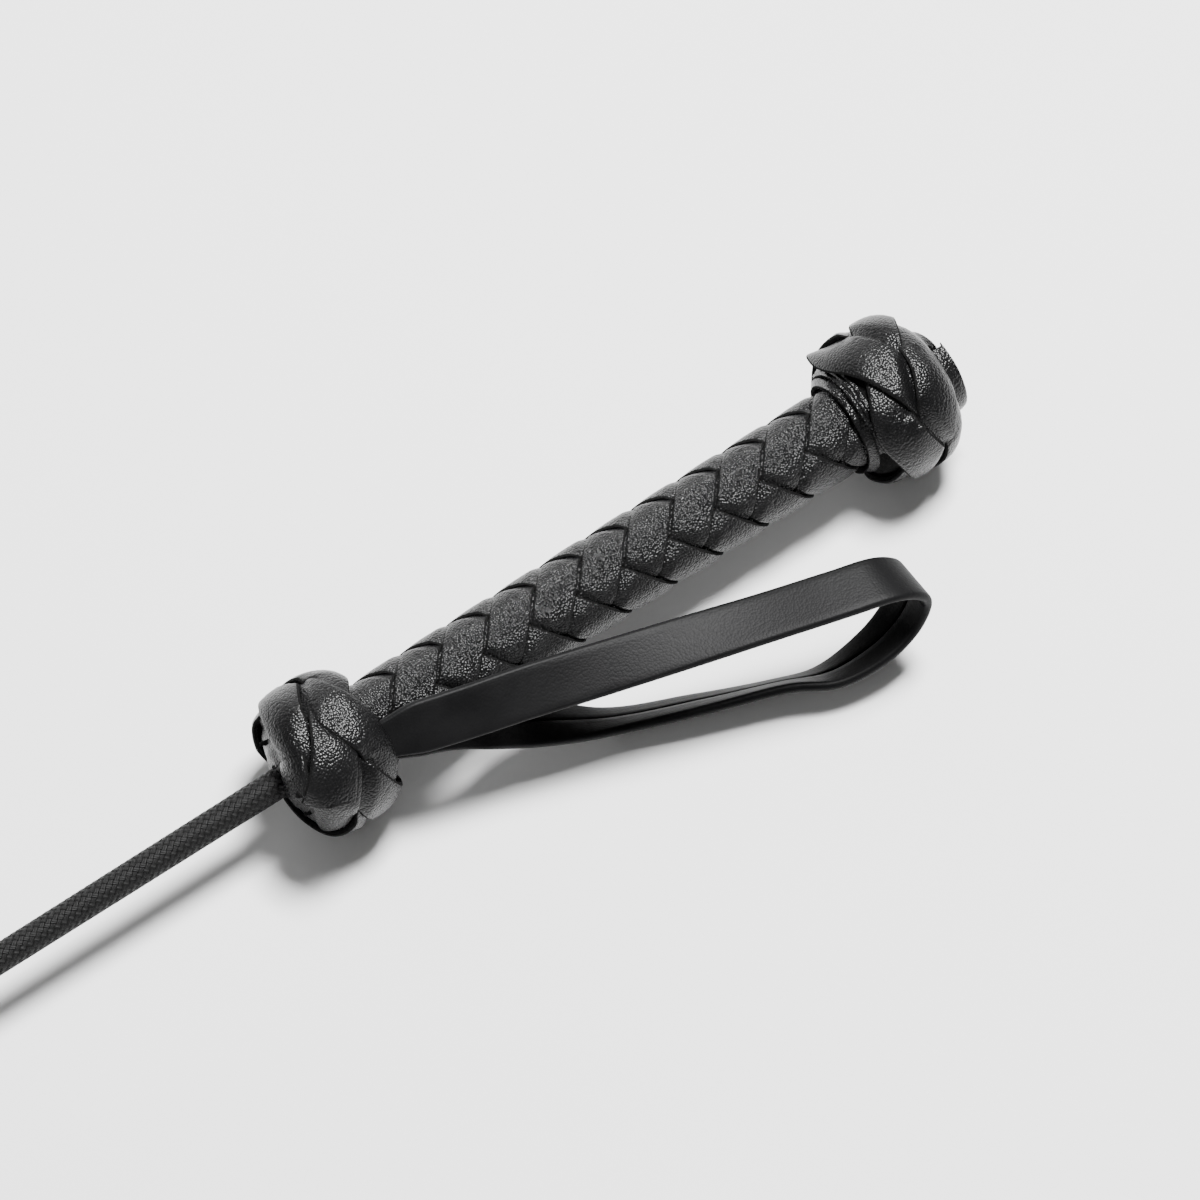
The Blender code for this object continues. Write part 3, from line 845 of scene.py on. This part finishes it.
def build_wrist_strap():
    curve = smooth_route(STRAP_ROUTE, 12)
    outline = strap_outline()
    rings = []
    for k, row in enumerate(curve):
        before, after = curve[max(k - 1, 0)].xyz, curve[min(k + 1, len(curve) - 1)].xyz
        along = (after - before).normalized()
        tilt = math.radians(row.w)
        across = Vector((0, -math.cos(tilt), math.sin(tilt)))
        across = (across - along * across.dot(along)).normalized()
        up = across.cross(along)
        half = strap_width(row.x) / 2
        ring = []
        for share, height, _ in outline:
            puff = height * STRAP_THICK / 2
            spot = row.xyz + across * half * share + up * puff
            ring.append(at(*spot))
        rings.append(ring)
    kinds = [kind for _, _, kind in outline]
    strap = skin("wrist_strap_strip", rings, kinds, [STRAP_LEATHER, SEAM_DARK])
    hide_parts("wrist_strap", "strap_tail_lower", "strap_tail_upper")
    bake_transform(strap)


# ---------------------------------------------------------------- rod cover and bindings


def tube(rows, radius):
    """Rings of a round thread along a row of points."""
    rings = []
    first = None
    for k, spot in enumerate(rows):
        along = (rows[min(k + 1, len(rows) - 1)] - rows[max(k - 1, 0)]).normalized()
        if first is None:
            first = along.orthogonal()
        else:
            first = first - along * first.dot(along)
        first.normalize()
        second = along.cross(first)
        ring = []
        for m in range(THREAD_SIDES):
            turned = math.tau * m / THREAD_SIDES
            ring.append(spot + (first * math.cos(turned) + second * math.sin(turned)) * radius)
        rings.append(ring)
    return rings


def build_whipping(name, node, x, length, radius, turns):
    """Thread wound side by side round the rod."""
    rows = []
    steps = turns * WHIPPING_STEPS
    for k in range(steps + 1):
        share = k / steps
        slack = wander(share * 90, 0, radius, 7.0, 0.12)
        angle = math.tau * turns * share
        rows.append(round_axis(x - length / 2 + length * share, radius + slack, angle))
    rings = tube(rows, length / turns * WHIPPING_FILL * MM)
    thread = skin(name, rings, [0] * THREAD_SIDES, [THREAD])
    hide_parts(node)
    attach(thread, "handle")


def build_rod_cover():
    """The braided sleeve: a tapering tube whose strands stand in slight relief."""
    count = int((COVER_START_X - COVER_END_X) / COVER_STEP)
    rings = []
    for k in range(count + 1):
        share = k / count
        x = COVER_START_X + (COVER_END_X - COVER_START_X) * share
        radius = COVER_RADIUS + (COVER_TIP_RADIUS - COVER_RADIUS) * share
        rows = (x + KNOT.x / MM) / COVER_PITCH  # counted as the sleeve's material counts them
        ring = []
        for m in range(COVER_SIDES):
            wraps = COVER_CARRIERS * m / COVER_SIDES
            right, left = rows + wraps, rows - wraps
            over = (math.floor(right) + math.floor(left)) % 2
            strand = (right if over else left) % 1 - 0.5
            relief = COVER_RELIEF * (math.cos(strand * math.pi) - 1)
            ring.append(round_axis(x, radius + relief, math.tau * m / COVER_SIDES))
        rings.append(ring)
    cover = skin("rod_cover_braid", rings, [0] * COVER_SIDES, [SLEEVE_TEXTILE])
    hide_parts("shaft_cover")
    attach(cover, "handle")


def build_keeper_wrap():
    """The leather wrapped round the tip and butted along its underside."""
    rings = []
    for k in range(WRAP_STEPS + 1):
        x = WRAP_START_X - WRAP_LENGTH * k / WRAP_STEPS
        end_roll = 0.9 * (1 - smooth_step(min(k, WRAP_STEPS - k) / 3))
        ring = []
        for m in range(WRAP_SIDES):
            angle = math.tau * m / WRAP_SIDES - math.pi / 2
            seam = 0.45 * math.exp(-(min(m, WRAP_SIDES - m) ** 2) / 1.2)
            swell = wander(x, 9 * math.cos(angle), 9 * math.sin(angle), 5.0, 0.22)
            ring.append(round_axis(x, WRAP_RADIUS - end_roll - seam + swell, angle))
        rings.append(ring)
    wrap = skin("keeper_wrap", rings, [0] * WRAP_SIDES, [KEEPER_LEATHER])
    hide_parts("keeper_sleeve")
    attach(wrap, "handle")


# ---------------------------------------------------------------- keeper


def keeper_half_width(x, inset=0.0):
    """Half the tongue's width: a narrow neck, a flowing shoulder and rounded end corners.
    inset moves the outline inwards, for the stitching."""
    shoulder = smooth_step((HINGE_X + 2 - x) / KEEPER_SHOULDER)
    half = KEEPER_NECK / 2 + (KEEPER_WIDTH - KEEPER_NECK) / 2 * shoulder - inset
    corner = KEEPER_CORNER - inset
    past = corner - (x - (KEEPER_END_X + inset))
    if past > 0:
        half -= corner - math.sqrt(max(corner**2 - min(past, corner) ** 2, 0))
    return half


def keeper_height(x, share, leaf):
    """Height of a leaf's middle layer over the rod's axis; leaf is 1 above and -1 below."""
    open_share = smooth_step((HINGE_X + 6 - x) / 14) * smooth_step((x - KEEPER_END_X) / 6)
    gap = KEEPER_LEAF / 2 + LEAF_CLEARANCE + LEAF_OPENING * open_share
    sag = 0.5 * math.sin((x - HINGE_X) / 17) + 0.35 * share**2
    return sag + leaf * gap


def build_keeper_leaf(name, leaf, node=None):
    rings = []
    for k in range(KEEPER_STEPS + 1):
        x = KEEPER_ROOT_X + (KEEPER_END_X + 0.02 - KEEPER_ROOT_X) * k / KEEPER_STEPS
        half = max(keeper_half_width(x), 0.4)
        ring = []
        for side in (1, -1):
            for share in KEEPER_COLUMNS if side > 0 else reversed(KEEPER_COLUMNS):
                roll = 0.3 * max(abs(share) - KEEPER_EDGE, 0) / (1 - KEEPER_EDGE)
                puff = side * (KEEPER_LEAF / 2 - roll) + wander(x, share * 9, leaf, 8.0, 0.12)
                ring.append(at(x, share * half, keeper_height(x, share, leaf) + puff))
        rings.append(ring)
    kinds = ([0] * (len(KEEPER_COLUMNS) - 1) + [1]) * 2  # each side's face, then a cut edge
    made = skin(name, rings, kinds, [KEEPER_LEATHER, LACE_BACK])
    if node:
        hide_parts(node)
    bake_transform(made)


def stitch_line():
    """Points a fixed inset from the tongue's border, from one side of the neck round to the
    other."""
    rows = []
    end = KEEPER_END_X + STITCH_INSET + 0.01
    for k in range(401):
        x = STITCH_START_X + (end - STITCH_START_X) * k / 400
        rows.append(Vector((x, keeper_half_width(x, STITCH_INSET))))
    return rows + [Vector((row.x, -row.y)) for row in reversed(rows)]


def build_keeper_stitching():
    """Separate short stitches along the line, on both leaves."""
    rows = stitch_line()
    marks = [0.0]
    for a, b in zip(rows, rows[1:]):
        marks.append(marks[-1] + (b - a).length)
    count = int(marks[-1] / STITCH_PITCH)
    bm = bmesh.new()
    for leaf in (1, -1):
        for k in range(count):
            arc = []
            for m in range(STITCH_POINTS + 1):
                reach = (k + 0.1 + 0.8 * m / STITCH_POINTS) * STITCH_PITCH
                index = min(bisect.bisect_left(marks, reach), len(rows) - 1)
                spot = rows[index]
                share = spot.y / max(keeper_half_width(spot.x), 0.5)
                rise = KEEPER_LEAF / 2 + 0.28 * math.sin(math.pi * m / STITCH_POINTS) - 0.12
                arc.append(at(spot.x, spot.y, keeper_height(spot.x, share, leaf) + leaf * rise))
            made = [[bm.verts.new(v) for v in ring] for ring in tube(arc, THREAD_RADIUS * MM)]
            for low, high in zip(made, made[1:]):
                for j in range(THREAD_SIDES):
                    m = (j + 1) % THREAD_SIDES
                    bm.faces.new((low[j], low[m], high[m], high[j])).smooth = True
    bmesh.ops.recalc_face_normals(bm, faces=bm.faces)
    stitches = publish("keeper_stitching", bm, [THREAD])
    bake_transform(stitches)


def build_tip_and_bindings():
    build_rod_cover()
    build_keeper_wrap()
    build_keeper_leaf("keeper_leaf_upper", 1, "keeper_flap")
    build_keeper_leaf("keeper_leaf_lower", -1)
    build_keeper_stitching()
    bindings = [
        ("keeper_binding", "keeper_whipping", -416.0, 12.0, 5.3, 12),
        ("grip_binding_lower", "grip_whipping_lower", -6.4, 4.0, 10.2, 4),
        ("grip_binding_upper", "grip_whipping_upper", 139.0, 4.0, 10.2, 4),
    ]
    for name, node, x, length, radius, turns in bindings:
        build_whipping(name, node, x, length, radius, turns)


# ---------------------------------------------------------------- stage


def build_stage():
    """A pale floor and an even, dim surrounding light."""
    bm = bmesh.new()
    bmesh.ops.create_grid(bm, x_segments=1, y_segments=1, size=4.0)
    floor = publish("studio_floor", bm, [floor_material()])
    world = bpy.data.worlds.new("studio_air")
    bpy.context.scene.world = world
    world.use_nodes = True
    world.node_tree.nodes["Background"].inputs["Color"].default_value = (1.0, 1.0, 1.0, 1.0)
    world.node_tree.nodes["Background"].inputs["Strength"].default_value = 0.18


def floor_material():
    n = Nodes("pale_floor")
    n.shader.inputs["Base Color"].default_value = (0.64, 0.64, 0.64, 1.0)
    n.shader.inputs["Roughness"].default_value = 0.9
    n.shader.inputs["Specular IOR Level"].default_value = 0.1
    return n.material


def area_light(name, place, target, size, power):
    data = bpy.data.lights.new(name, "AREA")
    data.shape = "RECTANGLE"
    data.size, data.size_y = size
    data.energy = power
    light = bpy.data.objects.new(name, data)
    bpy.context.collection.objects.link(light)
    light.location = place
    light.rotation_euler = (Vector(target) - Vector(place)).to_track_quat("-Z", "Y").to_euler()


def build_lights():
    """Sizes and offsets are in metres, powers in watts."""
    centre = at(60, 0, 0)
    area_light("overhead_softbox", centre + Vector((0.37, 0.14, 1.3)), centre, (0.36, 0.4), 100)
    area_light("rear_softbox", centre + Vector((0.3, 1.5, 0.5)), centre, (1.6, 0.4), 12)
    area_light("fill_softbox", centre + Vector((-1.2, -0.4, 1.4)), centre, (1.0, 1.0), 5)


def build_camera():
    """The photo's viewpoint, solved from where the knots, the grip and the rod lie in it."""
    data = bpy.data.cameras.new("camera")
    camera = bpy.data.objects.new("camera", data)
    bpy.context.collection.objects.link(camera)
    right = Vector((0.8161, -0.5779, 0.0))
    back = Vector((-0.2624, -0.3705, 0.8910)).normalized()
    up = back.cross(right).normalized()
    right = up.cross(back).normalized()
    target = at(68.683, -2.774, -2.574)
    distance = 1.4  # metres
    pose = Matrix((right, up, back)).transposed().to_4x4()
    pose.translation = target + back * distance
    camera.matrix_world = pose
    data.sensor_width = 36.0
    data.lens = 196.7
    data.clip_end = 20.0
    bpy.context.scene.camera = camera


def dress_cad_nodes():
    """Materials for the CAD nodes that no visual piece replaces."""
    finishes = {
        "shaft_rod": FIBREGLASS,
        "grip_core": WOOD,
        "knob_core": LACE_BACK,
        "tip_cap": PLASTIC,
    }
    for node, material in finishes.items():
        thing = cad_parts[node]
        for socket in thing.material_slots:
            socket.material = material


build_camera()
build_stage()
build_lights()
build_braid()
build_lace("knot_lacing", "knot_lace", LOWER_KNOT)
build_lace("knob_lacing", "knob_lace", KNOB)
build_knot_ends()
build_wrist_strap()
build_tip_and_bindings()
dress_cad_nodes()
